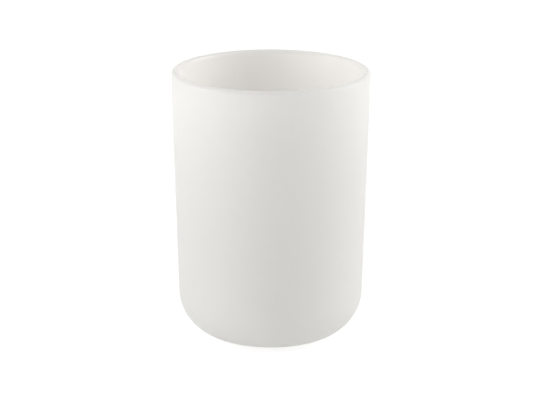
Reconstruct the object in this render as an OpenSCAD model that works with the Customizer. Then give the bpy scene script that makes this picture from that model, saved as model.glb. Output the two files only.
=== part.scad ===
// Bathroom tumbler: one shell moulded in white plastic, round about the Z axis.
// Lengths are in millimetres and angles in degrees. The cup stands on the plane z = 0.

/* [Cup] */
// Outside diameter over the rim, the widest place
rim_d = 75; // [66:0.5:90]
// Height from the standing ring to the top of the rim
cup_h = 103; // [85:1:130]
// Lean of the wall away from the axis, which lets the cup leave its mould
draft = 1.6; // [0.5:0.1:2.5]

/* [Wall] */
// Thickness of the wall, whose top edge is fully rounded
wall_t = 3; // [2:0.1:4.5]
// Radius of the outside corner between the wall and the base
corner_r = 17.5; // [13:0.5:23]

/* [Base] */
// Thickness of the floor above the recess
floor_t = 3; // [2:0.1:4.5]
// Width of the flat ring that the cup stands on
ring_w = 2.4; // [1.5:0.1:4]
// Depth of the recess inside the ring
recess_h = 1.2; // [1:0.1:2]
// Radius of the recess's two edges, one at the ring and one under the floor
recess_edge_r = 0.5; // [0.3:0.05:0.5]

/* [Gate mark] */
// Diameter of the dimple round the point where the plastic was injected
dimple_d = 6; // [4:0.5:9]
// Depth of the dimple in the underside of the floor
dimple_h = 0.4; // [0.3:0.1:0.8]
// Diameter of the nub that stands in the dimple where the gate was cut
nub_d = 1.6; // [1:0.1:2.5]
// Height of the nub
nub_h = 0.25; // [0.1:0.05:0.35]

/* [Hidden] */
$fn = 144;
shell_color = "#F7F6F3";

// How far a cut runs past the face that it opens
overrun = 1;

// Square to the wall, outwards and a little down
wall_normal = [cos(draft), -sin(draft)];

// The rim is a circle in section, as wide as the wall that runs into it
rim_r = wall_t / 2;
rim_centre = [rim_d / 2 - rim_r, cup_h - rim_r];
rim_outer = rim_centre + rim_r * wall_normal;
rim_inner = rim_centre - rim_r * wall_normal;

// Distance from the axis to the middle of the wall, at height z
function wall_x(z) = rim_centre.x - (rim_centre.y - z) * tan(draft);

// The outside corner touches the standing plane and the wall's outer face
corner_centre = [wall_x(corner_r) - (corner_r - rim_r) / cos(draft), corner_r];

// The inside corner touches the floor and the wall's inner face, and keeps the wall's thickness
floor_z = recess_h + floor_t;
inner_corner_r = corner_r - wall_t;
inner_corner_z = floor_z + inner_corner_r;
inner_corner_x = wall_x(inner_corner_z) - (inner_corner_r + rim_r) / cos(draft);
inner_corner_centre = [inner_corner_x, inner_corner_z];

// Radius of the recess, inside the ring's rounded inner edge
recess_r = corner_centre.x - ring_w - recess_edge_r;

// Half section from the axis to one face of the wall: a flat bottom, a corner of radius r about the
// point centre, the leaning face, and the points of top, which close the section back to the axis
module filled_section(centre, r, top) {
    bottom_z = centre.y - r;
    intersection() {
        union() {
            polygon(concat([[0, bottom_z], [centre.x, bottom_z], centre + r * wall_normal], top));
            translate(centre) circle(r = r);
        }
        square([rim_d, cup_h + overrun]);
    }
}

// Half section of the space that the cup holds
module inside_section() {
    open_z = cup_h + overrun;
    filled_section(inner_corner_centre, inner_corner_r,
        [rim_inner, [rim_inner.x, open_z], [0, open_z]]);
}

// Half section of the recess under the floor, with a rounded edge at its top and at its mouth
module recess_section() {
    difference() {
        translate([0, -overrun]) square([recess_r + recess_edge_r, recess_edge_r + overrun]);
        translate([recess_r + recess_edge_r, recess_edge_r]) circle(r = recess_edge_r);
    }
    square([recess_r, recess_h - recess_edge_r]);
    square([recess_r - recess_edge_r, recess_h]);
    translate([recess_r - recess_edge_r, recess_h - recess_edge_r]) circle(r = recess_edge_r);
}

// Half section of the dimple round the gate, without the nub in its middle
module dimple_section() {
    top_z = recess_h + dimple_h;
    square([dimple_d / 2, top_z - nub_h]);
    translate([nub_d / 2, 0]) square([(dimple_d - nub_d) / 2, top_z]);
}

module tumbler_shell() {
    color(shell_color) rotate_extrude() {
        difference() {
            filled_section(corner_centre, corner_r, [rim_outer, rim_inner, [0, rim_inner.y]]);
            inside_section();
            recess_section();
            dimple_section();
        }
        translate(rim_centre) circle(r = rim_r);
    }
}

tumbler_shell();
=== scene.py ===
"""Looks of the bathroom tumbler: a white moulded shell, its plastic, and a soft studio to show it in."""

import math

import bpy
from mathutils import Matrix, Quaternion, Vector


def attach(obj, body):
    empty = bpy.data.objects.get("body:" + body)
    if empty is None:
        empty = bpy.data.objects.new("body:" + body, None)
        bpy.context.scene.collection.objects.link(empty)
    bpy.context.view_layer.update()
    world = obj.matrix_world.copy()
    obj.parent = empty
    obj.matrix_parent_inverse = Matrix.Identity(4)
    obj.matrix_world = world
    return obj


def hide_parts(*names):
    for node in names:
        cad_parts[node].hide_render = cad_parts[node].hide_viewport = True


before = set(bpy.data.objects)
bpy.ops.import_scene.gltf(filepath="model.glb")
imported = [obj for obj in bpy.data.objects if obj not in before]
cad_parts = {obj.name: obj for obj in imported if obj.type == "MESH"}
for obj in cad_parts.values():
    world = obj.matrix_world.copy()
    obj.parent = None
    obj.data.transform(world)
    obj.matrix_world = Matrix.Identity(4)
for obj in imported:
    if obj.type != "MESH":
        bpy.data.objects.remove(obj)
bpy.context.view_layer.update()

SHELL_NODE = "tumbler_shell"
MM = 0.001

# Sizes of the shell, the same as in the part's source
RIM_DIAMETER = 75 * MM
RIM_TOP = 103 * MM
DRAFT = math.radians(1.6)
WALL = 3 * MM
CORNER_RADIUS = 17.5 * MM
CUP_FLOOR = 3 * MM
RING_WIDTH = 2.4 * MM
RECESS_DEPTH = 1.2 * MM
RECESS_EDGE = 0.5 * MM
DIMPLE_DIAMETER = 6 * MM
DIMPLE_DEPTH = 0.4 * MM
NUB_DIAMETER = 1.6 * MM
NUB_HEIGHT = 0.25 * MM

# The small edges of the gate mark are broken here only
BROKEN_EDGE = 0.1 * MM
# Height of a row of faces, steps round the axis, and how near two points are to become one
ROW_HEIGHT = 2.5 * MM
STEPS_ROUND = 192
MERGE_DISTANCE = 0.001 * MM
# Points on a rounded corner, and how many it gains with the root of its radius in millimetres
CORNER_POINTS = 5
CORNER_POINTS_GAINED = 6

# The middle of the wall's thickness: its radius at the rim and round the corner, and the corner's top
RIM_MIDDLE = (RIM_DIAMETER - WALL) / 2
CORNER_MIDDLE = CORNER_RADIUS - WALL / 2
CORNER_TOP = RECESS_DEPTH + CUP_FLOOR + CORNER_RADIUS - WALL
# How far outside that middle the look of the inside starts, and how far outside it is full
INSIDE_STARTS = 1.2 * MM
INSIDE_FULL = 0.2 * MM

# Colours of the plastic where the flow left it dull and where it left it bright
OUTSIDE_DULL = (0.908, 0.911, 0.900, 1)
OUTSIDE_BRIGHT = (0.928, 0.931, 0.921, 1)
# Painted light: the inside is painted a little lighter and warmer than the outside, so that it looks
# brighter
INSIDE_PAINTED_LIGHT_DULL = (0.945, 0.926, 0.903, 1)
INSIDE_PAINTED_LIGHT_BRIGHT = (0.963, 0.945, 0.924, 1)
SCUFFED = (0.78, 0.765, 0.74, 1)
# Daylight that comes through the wall: its colour, and the share of the plastic that lets it pass
DAYLIGHT = (0.936, 0.929, 0.912, 1)
LET_THROUGH = 0.46
PLASTIC_IOR = 1.5
SATIN_ROUGHNESS = 0.43
RELIEF_STRENGTH = 0.4
RELIEF_HEIGHT = 0.02 * MM

# Spots or lines in a millimetre of each pattern on the plastic
CLOUDS_PER_MM = 0.03
MOTTLE_PER_MM = 0.25
GRAIN_PER_MM = 3.0
DRAG_PER_MM = 1.6
PATCHES_PER_MM = 0.9
# Drag lines are so many times as long as they are wide
DRAG_STRETCH = 50
# Rings of flow round the gate: their spacing, how far they waver, and where they start and stop fading
FLOW_SPACING = 0.35 * math.tau * MM
FLOW_WAVER = 5
FLOW_FULL_RADIUS = 7.5 * MM
FLOW_END_RADIUS = 22.5 * MM
FLOW_FULL_HEIGHT = 5 * MM
FLOW_END_HEIGHT = 6 * MM
# Scuffs: the level of the patches where they start and are full, and the part of the base that is worn
SCUFF_STARTS = 0.44
SCUFF_FULL = SCUFF_STARTS + 1 / 6
WORN_HEIGHT = 0.15 * MM
WORN_END_HEIGHT = 0.4 * MM
WORN_START_RADIUS = 14 * MM
WORN_RADIUS = 15 * MM
# How far down the rim is rubbed smoother, in full and at all
RUBBED_FULL = 1 * MM
RUBBED_END = 2 * MM

WHITE = (1, 1, 1, 1)
# Strength of the soft light from each side
WORLD_FRONT = 0.97
WORLD_BACK = 1.6
WORLD_LEFT = 0.93
WORLD_TOP = 0.1
# Distance and width of the large lights beside the cup, in metres
SOFTBOX_DISTANCE = 2.0
SOFTBOX_WIDTH = 1.4
# The studio's floor: its paint, its glow, how much more it glows to the eye, half its side, and how
# far it lies below the cup
PAINT = (0.45, 0.45, 0.447, 1)
FLOOR_GLOW = 0.42
FLOOR_LIFT = 0.28
FLOOR_REACH = 6.0
FLOOR_DROP = 0.05 * MM

# The lamps and the camera are set round a point near the middle of the cup. The camera has a
# distance in metres, an elevation and a roll in degrees, and a lens in millimetres.
AIM = Vector((0, 0, 52.2 * MM))
CAMERA_DISTANCE = 0.9
CAMERA_ELEVATION = 15.84
CAMERA_ROLL = 0.22
CAMERA_LENS = 151.9
# The cup stands a little left of the picture's middle, so the camera looks to the right of its axis
CAMERA_PAN = 3.52 * MM


# Node trees


class Value:
    """One socket's value. Sums, differences, products and quotients add Math nodes to its tree."""

    def __init__(self, tree, socket):
        self.tree, self.socket = tree, socket

    def __add__(self, other):
        return self.tree.maths("ADD", self, other)

    def __radd__(self, other):
        return self.tree.maths("ADD", other, self)

    def __sub__(self, other):
        return self.tree.maths("SUBTRACT", self, other)

    def __rsub__(self, other):
        return self.tree.maths("SUBTRACT", other, self)

    def __mul__(self, other):
        return self.tree.maths("MULTIPLY", self, other)

    def __rmul__(self, other):
        return self.tree.maths("MULTIPLY", other, self)

    def __truediv__(self, other):
        return self.tree.maths("DIVIDE", self, other)

    def __rtruediv__(self, other):
        return self.tree.maths("DIVIDE", other, self)


class Tree:
    """A node tree that is being written, one node at a time."""

    def __init__(self, node_tree):
        self.node_tree = node_tree

    def add(self, kind, settings=None, sockets=None):
        """Adds a node: its settings first, then values or links for its sockets, by name or number."""
        node = self.node_tree.nodes.new(kind)
        for name, setting in (settings or {}).items():
            if name == "choices":
                while len(node.index_switch_items) < setting:
                    node.index_switch_items.new()
            else:
                setattr(node, name, setting)
        for key, value in (sockets or {}).items():
            if isinstance(value, Value):
                self.node_tree.links.new(value.socket, node.inputs[key])
            else:
                node.inputs[key].default_value = value
        return node

    def get(self, kind, settings=None, sockets=None, output=0):
        """Adds a node and returns one of its outputs as a Value."""
        return Value(self, self.add(kind, settings, sockets).outputs[output])

    def maths(self, operation, *values):
        """The result of a Math node on the values."""
        return self.get("ShaderNodeMath", {"operation": operation}, dict(enumerate(values)))

    def root(self, value):
        """The square root of a value."""
        return self.maths("SQRT", value)

    def positive(self, value):
        """The value where it is above 0, else 0."""
        return self.maths("MAXIMUM", value, 0.0)

    def within(self, value):
        """The value, held between 0 and 1."""
        return self.maths("MINIMUM", self.positive(value), 1.0)

    def fade(self, value, none, full):
        """0 up to the value called none, 1 from the value called full on, and a slope between."""
        return self.within((value - none) / (full - none))

    def parts(self, vector):
        """The three parts of a vector."""
        return [Value(self, part) for part in self.add("ShaderNodeSeparateXYZ", {}, {0: vector}).outputs]

    def vector(self, x, y, z):
        """A vector of three parts."""
        return self.get("ShaderNodeCombineXYZ", {}, {"X": x, "Y": y, "Z": z})

    def noise(self, place, per_mm, detail):
        """A soft random pattern with about so many spots in a millimetre."""
        return self.get("ShaderNodeTexNoise", {}, {"Vector": place, "Scale": per_mm / MM, "Detail": detail})

    def blend(self, factor, first, second):
        """The first colour where the factor is 0, and the second where it is 1."""
        # Inputs 6 and 7 and output 2 are the Mix node's colours
        return self.get("ShaderNodeMix", {"data_type": "RGBA"}, {0: factor, 6: first, 7: second}, output=2)


# The shell


def shell_inputs(tree, sizes):
    """Gives a geometry tree its named inputs and its output, and returns the inputs by name."""
    interface = tree.node_tree.interface
    for name in sizes:
        interface.new_socket(name, in_out="INPUT", socket_type="NodeSocketFloat")
    interface.new_socket("Steps round", in_out="INPUT", socket_type="NodeSocketInt")
    interface.new_socket("Plastic", in_out="INPUT", socket_type="NodeSocketMaterial")
    interface.new_socket("Shell", in_out="OUTPUT", socket_type="NodeSocketGeometry")
    given = tree.add("NodeGroupInput")
    return {output.name: Value(tree, output) for output in given.outputs if output.name}


def shell_profile_corners(tree, size):
    """The corners of the shell's half section, from the gate's nub round the outside to the inside floor.

    Each is a distance from the axis, a height and the radius that rounds the corner.
    """
    rim_r = size["Wall"] / 2
    rim_x = size["Rim diameter"] / 2 - rim_r
    rim_z = size["Height"] - rim_r
    lean = tree.maths("TANGENT", size["Draft"])
    cosine = tree.maths("COSINE", size["Draft"])
    floor_z = size["Recess depth"] + size["Floor"]
    inner_corner_r = size["Corner radius"] - size["Wall"]

    def wall_x(z, side):
        """How far from the axis the wall's face is at a height: side 1 is outside and -1 inside."""
        return rim_x - (rim_z - z) * lean + side * rim_r / cosine

    corner_x = wall_x(size["Corner radius"], 1) - size["Corner radius"] / cosine
    recess_r = corner_x - size["Ring width"] - size["Recess edge"]
    dimple_z = size["Recess depth"] + size["Dimple depth"]
    nub_z = dimple_z - size["Nub height"]
    nub_r = size["Nub diameter"] / 2
    dimple_r = size["Dimple diameter"] / 2
    broken = size["Broken edge"]
    return [
        (0.0, nub_z, 0.0),
        (nub_r, nub_z, broken),
        (nub_r, dimple_z, broken),
        (dimple_r, dimple_z, broken),
        (dimple_r, size["Recess depth"], broken),
        (recess_r, size["Recess depth"], size["Recess edge"]),
        (recess_r, 0.0, size["Recess edge"]),
        (wall_x(0.0, 1), 0.0, size["Corner radius"]),
        (wall_x(size["Height"], 1), size["Height"], rim_r),
        (wall_x(size["Height"], -1), size["Height"], rim_r),
        (wall_x(floor_z, -1), floor_z, inner_corner_r),
        (0.0, floor_z, 0.0),
    ]


def choose(tree, data_type, values):
    """A field that takes one of the values by the index of the point it is read on."""
    sockets = {str(number): value for number, value in enumerate(values)}
    sockets["Index"] = tree.get("GeometryNodeInputIndex")
    settings = {"data_type": data_type, "choices": len(values)}
    return tree.get("GeometryNodeIndexSwitch", settings, sockets)


def shell_profile(tree, size):
    """The shell's half section as a curve in the XZ plane, its corners rounded and its long runs divided."""
    corners = shell_profile_corners(tree, size)
    places = choose(tree, "VECTOR", [tree.vector(x, 0.0, z) for x, z, rounding in corners])
    radius = choose(tree, "FLOAT", [rounding for x, z, rounding in corners])
    line = tree.get("GeometryNodeCurvePrimitiveLine")
    points = tree.get("GeometryNodeResampleCurve", {}, {"Curve": line, "Count": len(corners)})
    placed = tree.get("GeometryNodeSetPosition", {}, {"Geometry": points, "Position": places})
    count = CORNER_POINTS + CORNER_POINTS_GAINED * tree.root(radius / MM)
    sockets = {"Curve": placed, "Count": count, "Radius": radius}
    rounded = tree.get("GeometryNodeFilletCurve", {"mode": "POLY"}, sockets)
    along = tree.get("GeometryNodeSplineParameter", output="Length")
    next_index = tree.get("GeometryNodeInputIndex") + 1
    along_next = tree.get("GeometryNodeFieldAtIndex", {}, {"Index": next_index, "Value": along})
    cuts = tree.maths("FLOOR", (along_next - along) / size["Row height"])
    return tree.get("GeometryNodeSubdivideCurve", {}, {"Curve": rounded, "Cuts": cuts})


def turned(tree, profile, steps):
    """The profile turned about the Z axis into a closed skin.

    A grid gets a ring of points for each point of the profile, and is wrapped round the axis.
    """
    rings = tree.get("GeometryNodeAttributeDomainSize", {"component": "CURVE"}, {"Geometry": profile})
    ring_points = steps + 1
    grid = tree.get("GeometryNodeMeshGrid", {}, {"Vertices X": rings, "Vertices Y": ring_points})
    index = tree.get("GeometryNodeInputIndex")
    sockets = {
        "Geometry": profile,
        "Value": tree.get("GeometryNodeInputPosition"),
        "Index": tree.maths("FLOOR", (index + 0.5) / ring_points),
    }
    section_point = tree.get("GeometryNodeSampleIndex", {"data_type": "FLOAT_VECTOR"}, sockets)
    radius, _, height = tree.parts(section_point)
    angle = tree.maths("MODULO", index, ring_points) * (math.tau / steps)
    place = tree.vector(radius * tree.maths("COSINE", angle), radius * tree.maths("SINE", angle), height)
    skin = tree.get("GeometryNodeSetPosition", {}, {"Geometry": grid, "Position": place})
    outwards = tree.get("GeometryNodeFlipFaces", {}, {"Mesh": skin})
    sockets = {"Geometry": outwards, "Distance": MERGE_DISTANCE}
    return tree.get("GeometryNodeMergeByDistance", {}, sockets)


def shell_tree(sizes):
    """The geometry tree that turns the shell from its sizes."""
    tree = Tree(bpy.data.node_groups.new("turned_shell", "GeometryNodeTree"))
    size = shell_inputs(tree, sizes)
    skin = turned(tree, shell_profile(tree, size), size["Steps round"])
    smooth = tree.get("GeometryNodeSetShadeSmooth", {}, {"Geometry": skin})
    real = tree.get("GeometryNodeRealizeInstances", {}, {"Geometry": smooth})
    made = tree.get("GeometryNodeSetMaterial", {}, {"Geometry": real, "Material": size["Plastic"]})
    tree.add("NodeGroupOutput", {}, {"Shell": made})
    return tree.node_tree


def grown_piece(name, node_tree, inputs):
    """A plain mesh object that holds what a geometry tree makes with the given inputs."""
    seed = bpy.data.objects.new(name + "_seed", bpy.data.meshes.new(name + "_seed"))
    bpy.context.scene.collection.objects.link(seed)
    modifier = seed.modifiers.new("grow", "NODES")
    modifier.node_group = node_tree
    for item in node_tree.interface.items_tree:
        if item.in_out == "INPUT":
            modifier[item.identifier] = inputs[item.name]
    evaluated = seed.evaluated_get(bpy.context.evaluated_depsgraph_get())
    mesh = bpy.data.meshes.new_from_object(evaluated)
    mesh.name = name
    seed.modifiers.remove(modifier)
    bpy.data.objects.remove(seed)
    piece = bpy.data.objects.new(name, mesh)
    bpy.context.scene.collection.objects.link(piece)
    return piece


def tumbler_shell():
    """The cup: one moulded shell, from the rim to the standing ring and the gate mark under the floor."""
    sizes = {
        "Rim diameter": RIM_DIAMETER,
        "Height": RIM_TOP,
        "Draft": DRAFT,
        "Wall": WALL,
        "Corner radius": CORNER_RADIUS,
        "Floor": CUP_FLOOR,
        "Ring width": RING_WIDTH,
        "Recess depth": RECESS_DEPTH,
        "Recess edge": RECESS_EDGE,
        "Dimple diameter": DIMPLE_DIAMETER,
        "Dimple depth": DIMPLE_DEPTH,
        "Nub diameter": NUB_DIAMETER,
        "Nub height": NUB_HEIGHT,
        "Broken edge": BROKEN_EDGE,
        "Row height": ROW_HEIGHT,
    }
    inputs = {**sizes, "Steps round": STEPS_ROUND, "Plastic": white_plastic()}
    return grown_piece("tumbler_shell_form", shell_tree(sizes), inputs)


# The plastic


def blank_material(name):
    """A new material with no nodes, and the tree to write them in."""
    material = bpy.data.materials.new(name)
    material.use_nodes = True
    material.node_tree.nodes.clear()
    return material, Tree(material.node_tree)


# This mask places the painted light of the inside's colour, and the inside's lower roughness
def inside_of_cup(tree, from_axis, height):
    """1 on the inside of the cup, 0 on the outside. On the rim it turns from one to the other.

    The middle of the wall leans as the wall does, and its corner is part of a circle.
    """
    middle = RIM_MIDDLE - (RIM_TOP - WALL / 2 - height) * math.tan(DRAFT)
    past_corner = tree.positive(from_axis - middle + CORNER_MIDDLE)
    under_corner = tree.positive(CORNER_TOP - height)
    from_corner = tree.root(past_corner * past_corner + under_corner * under_corner)
    return tree.fade(CORNER_MIDDLE - from_corner, none=-INSIDE_STARTS, full=-INSIDE_FULL)


def flow_rings(tree, from_axis, height, mottle):
    """Wavering rings of flow round the gate, on both sides of the floor, gone where the corner rises."""
    waves = tree.maths("SINE", from_axis * (math.tau / FLOW_SPACING) + FLOW_WAVER * mottle)
    near_gate = tree.fade(from_axis, none=FLOW_END_RADIUS, full=FLOW_FULL_RADIUS)
    return waves * near_gate * tree.fade(height, none=FLOW_END_HEIGHT, full=FLOW_FULL_HEIGHT)


def base_scuffs(tree, place, from_axis, height):
    """Scuffed patches where the cup stands, on the ring and the lowest part of the corner."""
    pattern = tree.noise(place, PATCHES_PER_MM, detail=4.0)
    patches = tree.fade(pattern, none=SCUFF_STARTS, full=SCUFF_FULL)
    low = tree.fade(height, none=WORN_END_HEIGHT, full=WORN_HEIGHT)
    return patches * low * tree.fade(from_axis, none=WORN_START_RADIUS, full=WORN_RADIUS)


def white_plastic():
    """White moulded plastic, satin, with a fine grain, marks of the mould, and a worn base and rim."""
    material, tree = blank_material("white_plastic")
    place = tree.get("ShaderNodeTexCoord", output="Object")
    x, y, z = tree.parts(place)
    from_axis = tree.root(x * x + y * y)
    inside = inside_of_cup(tree, from_axis, z)

    clouds = tree.noise(place, CLOUDS_PER_MM, detail=3.0)
    mottle = tree.noise(place, MOTTLE_PER_MM, detail=2.0)
    grain = tree.noise(place, GRAIN_PER_MM, detail=2.0)
    # Drag lines of the polished core and cavity run up the wall
    drag = tree.noise(tree.vector(x, y, z / DRAG_STRETCH), DRAG_PER_MM, detail=2.0)
    flow = flow_rings(tree, from_axis, z, mottle)
    scuff = base_scuffs(tree, place, from_axis, z)
    # The rim is rubbed a little smoother by hands
    rubbed = tree.fade(z, none=RIM_TOP - RUBBED_END, full=RIM_TOP - RUBBED_FULL)

    # The shares of the patterns in the tone, the roughness and the relief
    bright = tree.within(0.5 + 1.2 * (clouds - 0.5) + 0.8 * (mottle - 0.5) + 0.12 * flow)
    outer = tree.blend(bright, OUTSIDE_DULL, OUTSIDE_BRIGHT)
    # The inside takes the lighter, warmer colours of painted light
    inner = tree.blend(bright, INSIDE_PAINTED_LIGHT_DULL, INSIDE_PAINTED_LIGHT_BRIGHT)
    color = tree.blend(0.5 * scuff, tree.blend(inside, outer, inner), SCUFFED)
    patterned = SATIN_ROUGHNESS + 0.10 * (clouds - 0.5) + 0.08 * (grain - 0.5) + 0.06 * (drag - 0.5)
    roughness = patterned + 0.03 * flow + 0.20 * scuff - 0.12 * rubbed - 0.05 * inside
    height = grain + 0.5 * mottle + 0.3 * drag + 0.15 * flow - 1.2 * scuff
    sockets = {"Strength": RELIEF_STRENGTH, "Distance": RELIEF_HEIGHT, "Height": height}
    relief = tree.get("ShaderNodeBump", {}, sockets)

    sockets = {"Base Color": color, "Roughness": roughness, "IOR": PLASTIC_IOR, "Normal": relief}
    surface = tree.get("ShaderNodeBsdfPrincipled", {}, sockets)
    # Daylight comes through the wall, which evens out the inside of the cup
    through = tree.get("ShaderNodeBsdfTranslucent", {}, {"Color": DAYLIGHT})
    plastic = tree.get("ShaderNodeMixShader", {}, {0: LET_THROUGH, 1: surface, 2: through})
    tree.add("ShaderNodeOutputMaterial", {}, {"Surface": plastic})
    return material


# The studio


def seen_by_eye(tree):
    """1 for rays by which the camera sees the studio, straight, mirrored or through a clear thing, else 0.

    Light that spreads as it passes the plastic comes on rays of both transmission and diffuse kind.
    It lights the cup, so it counts as 0.
    """
    path = tree.add("ShaderNodeLightPath")
    kinds = ("Is Camera Ray", "Is Glossy Ray", "Is Transmission Ray", "Is Diffuse Ray")
    camera, mirrored, passed, spread = (Value(tree, path.outputs[kind]) for kind in kinds)
    clear = passed * (1 - spread)
    return tree.maths("MAXIMUM", camera, tree.maths("MAXIMUM", mirrored, clear))


def floor_material():
    """Pale floor that glows faintly and keeps the object's shadow. Seen from below it is clear."""
    material, tree = blank_material("studio_floor")
    paint = tree.get("ShaderNodeBsdfDiffuse", {}, {"Color": PAINT})
    strength = FLOOR_GLOW + seen_by_eye(tree) * FLOOR_LIFT
    glow = tree.get("ShaderNodeEmission", {}, {"Color": WHITE, "Strength": strength})
    above = tree.get("ShaderNodeAddShader", {}, {0: paint, 1: glow})
    below = tree.get("ShaderNodeBsdfTransparent")
    from_below = tree.get("ShaderNodeNewGeometry", output="Backfacing")
    shader = tree.get("ShaderNodeMixShader", {}, {0: from_below, 1: above, 2: below})
    tree.add("ShaderNodeOutputMaterial", {}, {"Surface": shader})
    return material


def studio_floor():
    """A square floor, just under the cup."""
    ends = (-FLOOR_REACH, FLOOR_REACH)
    corners = [(x, y, -FLOOR_DROP) for y in ends for x in ends]
    mesh = bpy.data.meshes.new("studio_floor")
    mesh.from_pydata(corners, [], [(0, 1, 3, 2)])
    mesh.materials.append(floor_material())
    piece = bpy.data.objects.new("studio_floor", mesh)
    bpy.context.scene.collection.objects.link(piece)
    return piece


def studio_world():
    """Soft light like a light tent's, strongest from behind. Seen by eye it is white."""
    world = bpy.data.worlds.new("studio_world")
    world.use_nodes = True
    world.node_tree.nodes.clear()
    tree = Tree(world.node_tree)
    x, y, z = tree.parts(tree.get("ShaderNodeTexCoord", output="Generated"))

    def lobe(towards):
        """Light from one side, which falls off with the square of the cosine."""
        facing = tree.positive(towards)
        return facing * facing

    sides = WORLD_LEFT * lobe(-1 * x) + WORLD_FRONT * lobe(-1 * y) + WORLD_BACK * lobe(y)
    strength = sides + WORLD_TOP * lobe(z)
    light = tree.get("ShaderNodeBackground", {}, {"Color": WHITE, "Strength": strength})
    white = tree.get("ShaderNodeBackground", {}, {"Color": WHITE, "Strength": 1.0})
    shader = tree.get("ShaderNodeMixShader", {}, {0: seen_by_eye(tree), 1: light, 2: white})
    tree.add("ShaderNodeOutputWorld", {}, {"Surface": shader})
    bpy.context.scene.world = world


def on_compass(azimuth, elevation, distance):
    """A point round the object: azimuth 0 is in front of it, on the -Y side, and 90 is on the +X side."""
    turn, rise = math.radians(azimuth), math.radians(elevation)
    flat = distance * math.cos(rise)
    return AIM + Vector((flat * math.sin(turn), -flat * math.cos(turn), distance * math.sin(rise)))


def softbox(name, azimuth, elevation, height, watts):
    """A large soft light that faces the object."""
    light = bpy.data.lights.new(name, "AREA")
    light.shape = "RECTANGLE"
    light.size = SOFTBOX_WIDTH
    light.size_y = height
    light.energy = watts
    lamp = bpy.data.objects.new(name, light)
    lamp.location = on_compass(azimuth, elevation, SOFTBOX_DISTANCE)
    lamp.rotation_euler = (AIM - lamp.location).to_track_quat("-Z", "Y").to_euler()
    lamp.visible_camera = False
    bpy.context.scene.collection.objects.link(lamp)


def studio_camera():
    """The camera in front of the object, a little above it."""
    camera = bpy.data.cameras.new("camera")
    camera.lens = CAMERA_LENS
    stand = bpy.data.objects.new("camera", camera)
    stand.location = on_compass(0, CAMERA_ELEVATION, CAMERA_DISTANCE)
    look = AIM + Vector((CAMERA_PAN, 0, 0)) - stand.location
    roll = Quaternion((0, 0, 1), math.radians(CAMERA_ROLL))
    stand.rotation_euler = (look.to_track_quat("-Z", "Y") @ roll).to_euler()
    bpy.context.scene.collection.objects.link(stand)
    bpy.context.scene.camera = stand


# Putting it together

shell = tumbler_shell()
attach(shell, "root")
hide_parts(SHELL_NODE)

floor = studio_floor()
studio_world()
softbox("softbox_left", azimuth=-76, elevation=12, height=1.8, watts=20.6)
softbox("softbox_right", azimuth=95, elevation=12, height=1.8, watts=17.8)
softbox("softbox_high", azimuth=100, elevation=30, height=1.4, watts=16.5)
studio_camera()
bpy.context.scene.view_settings.view_transform = "Standard"
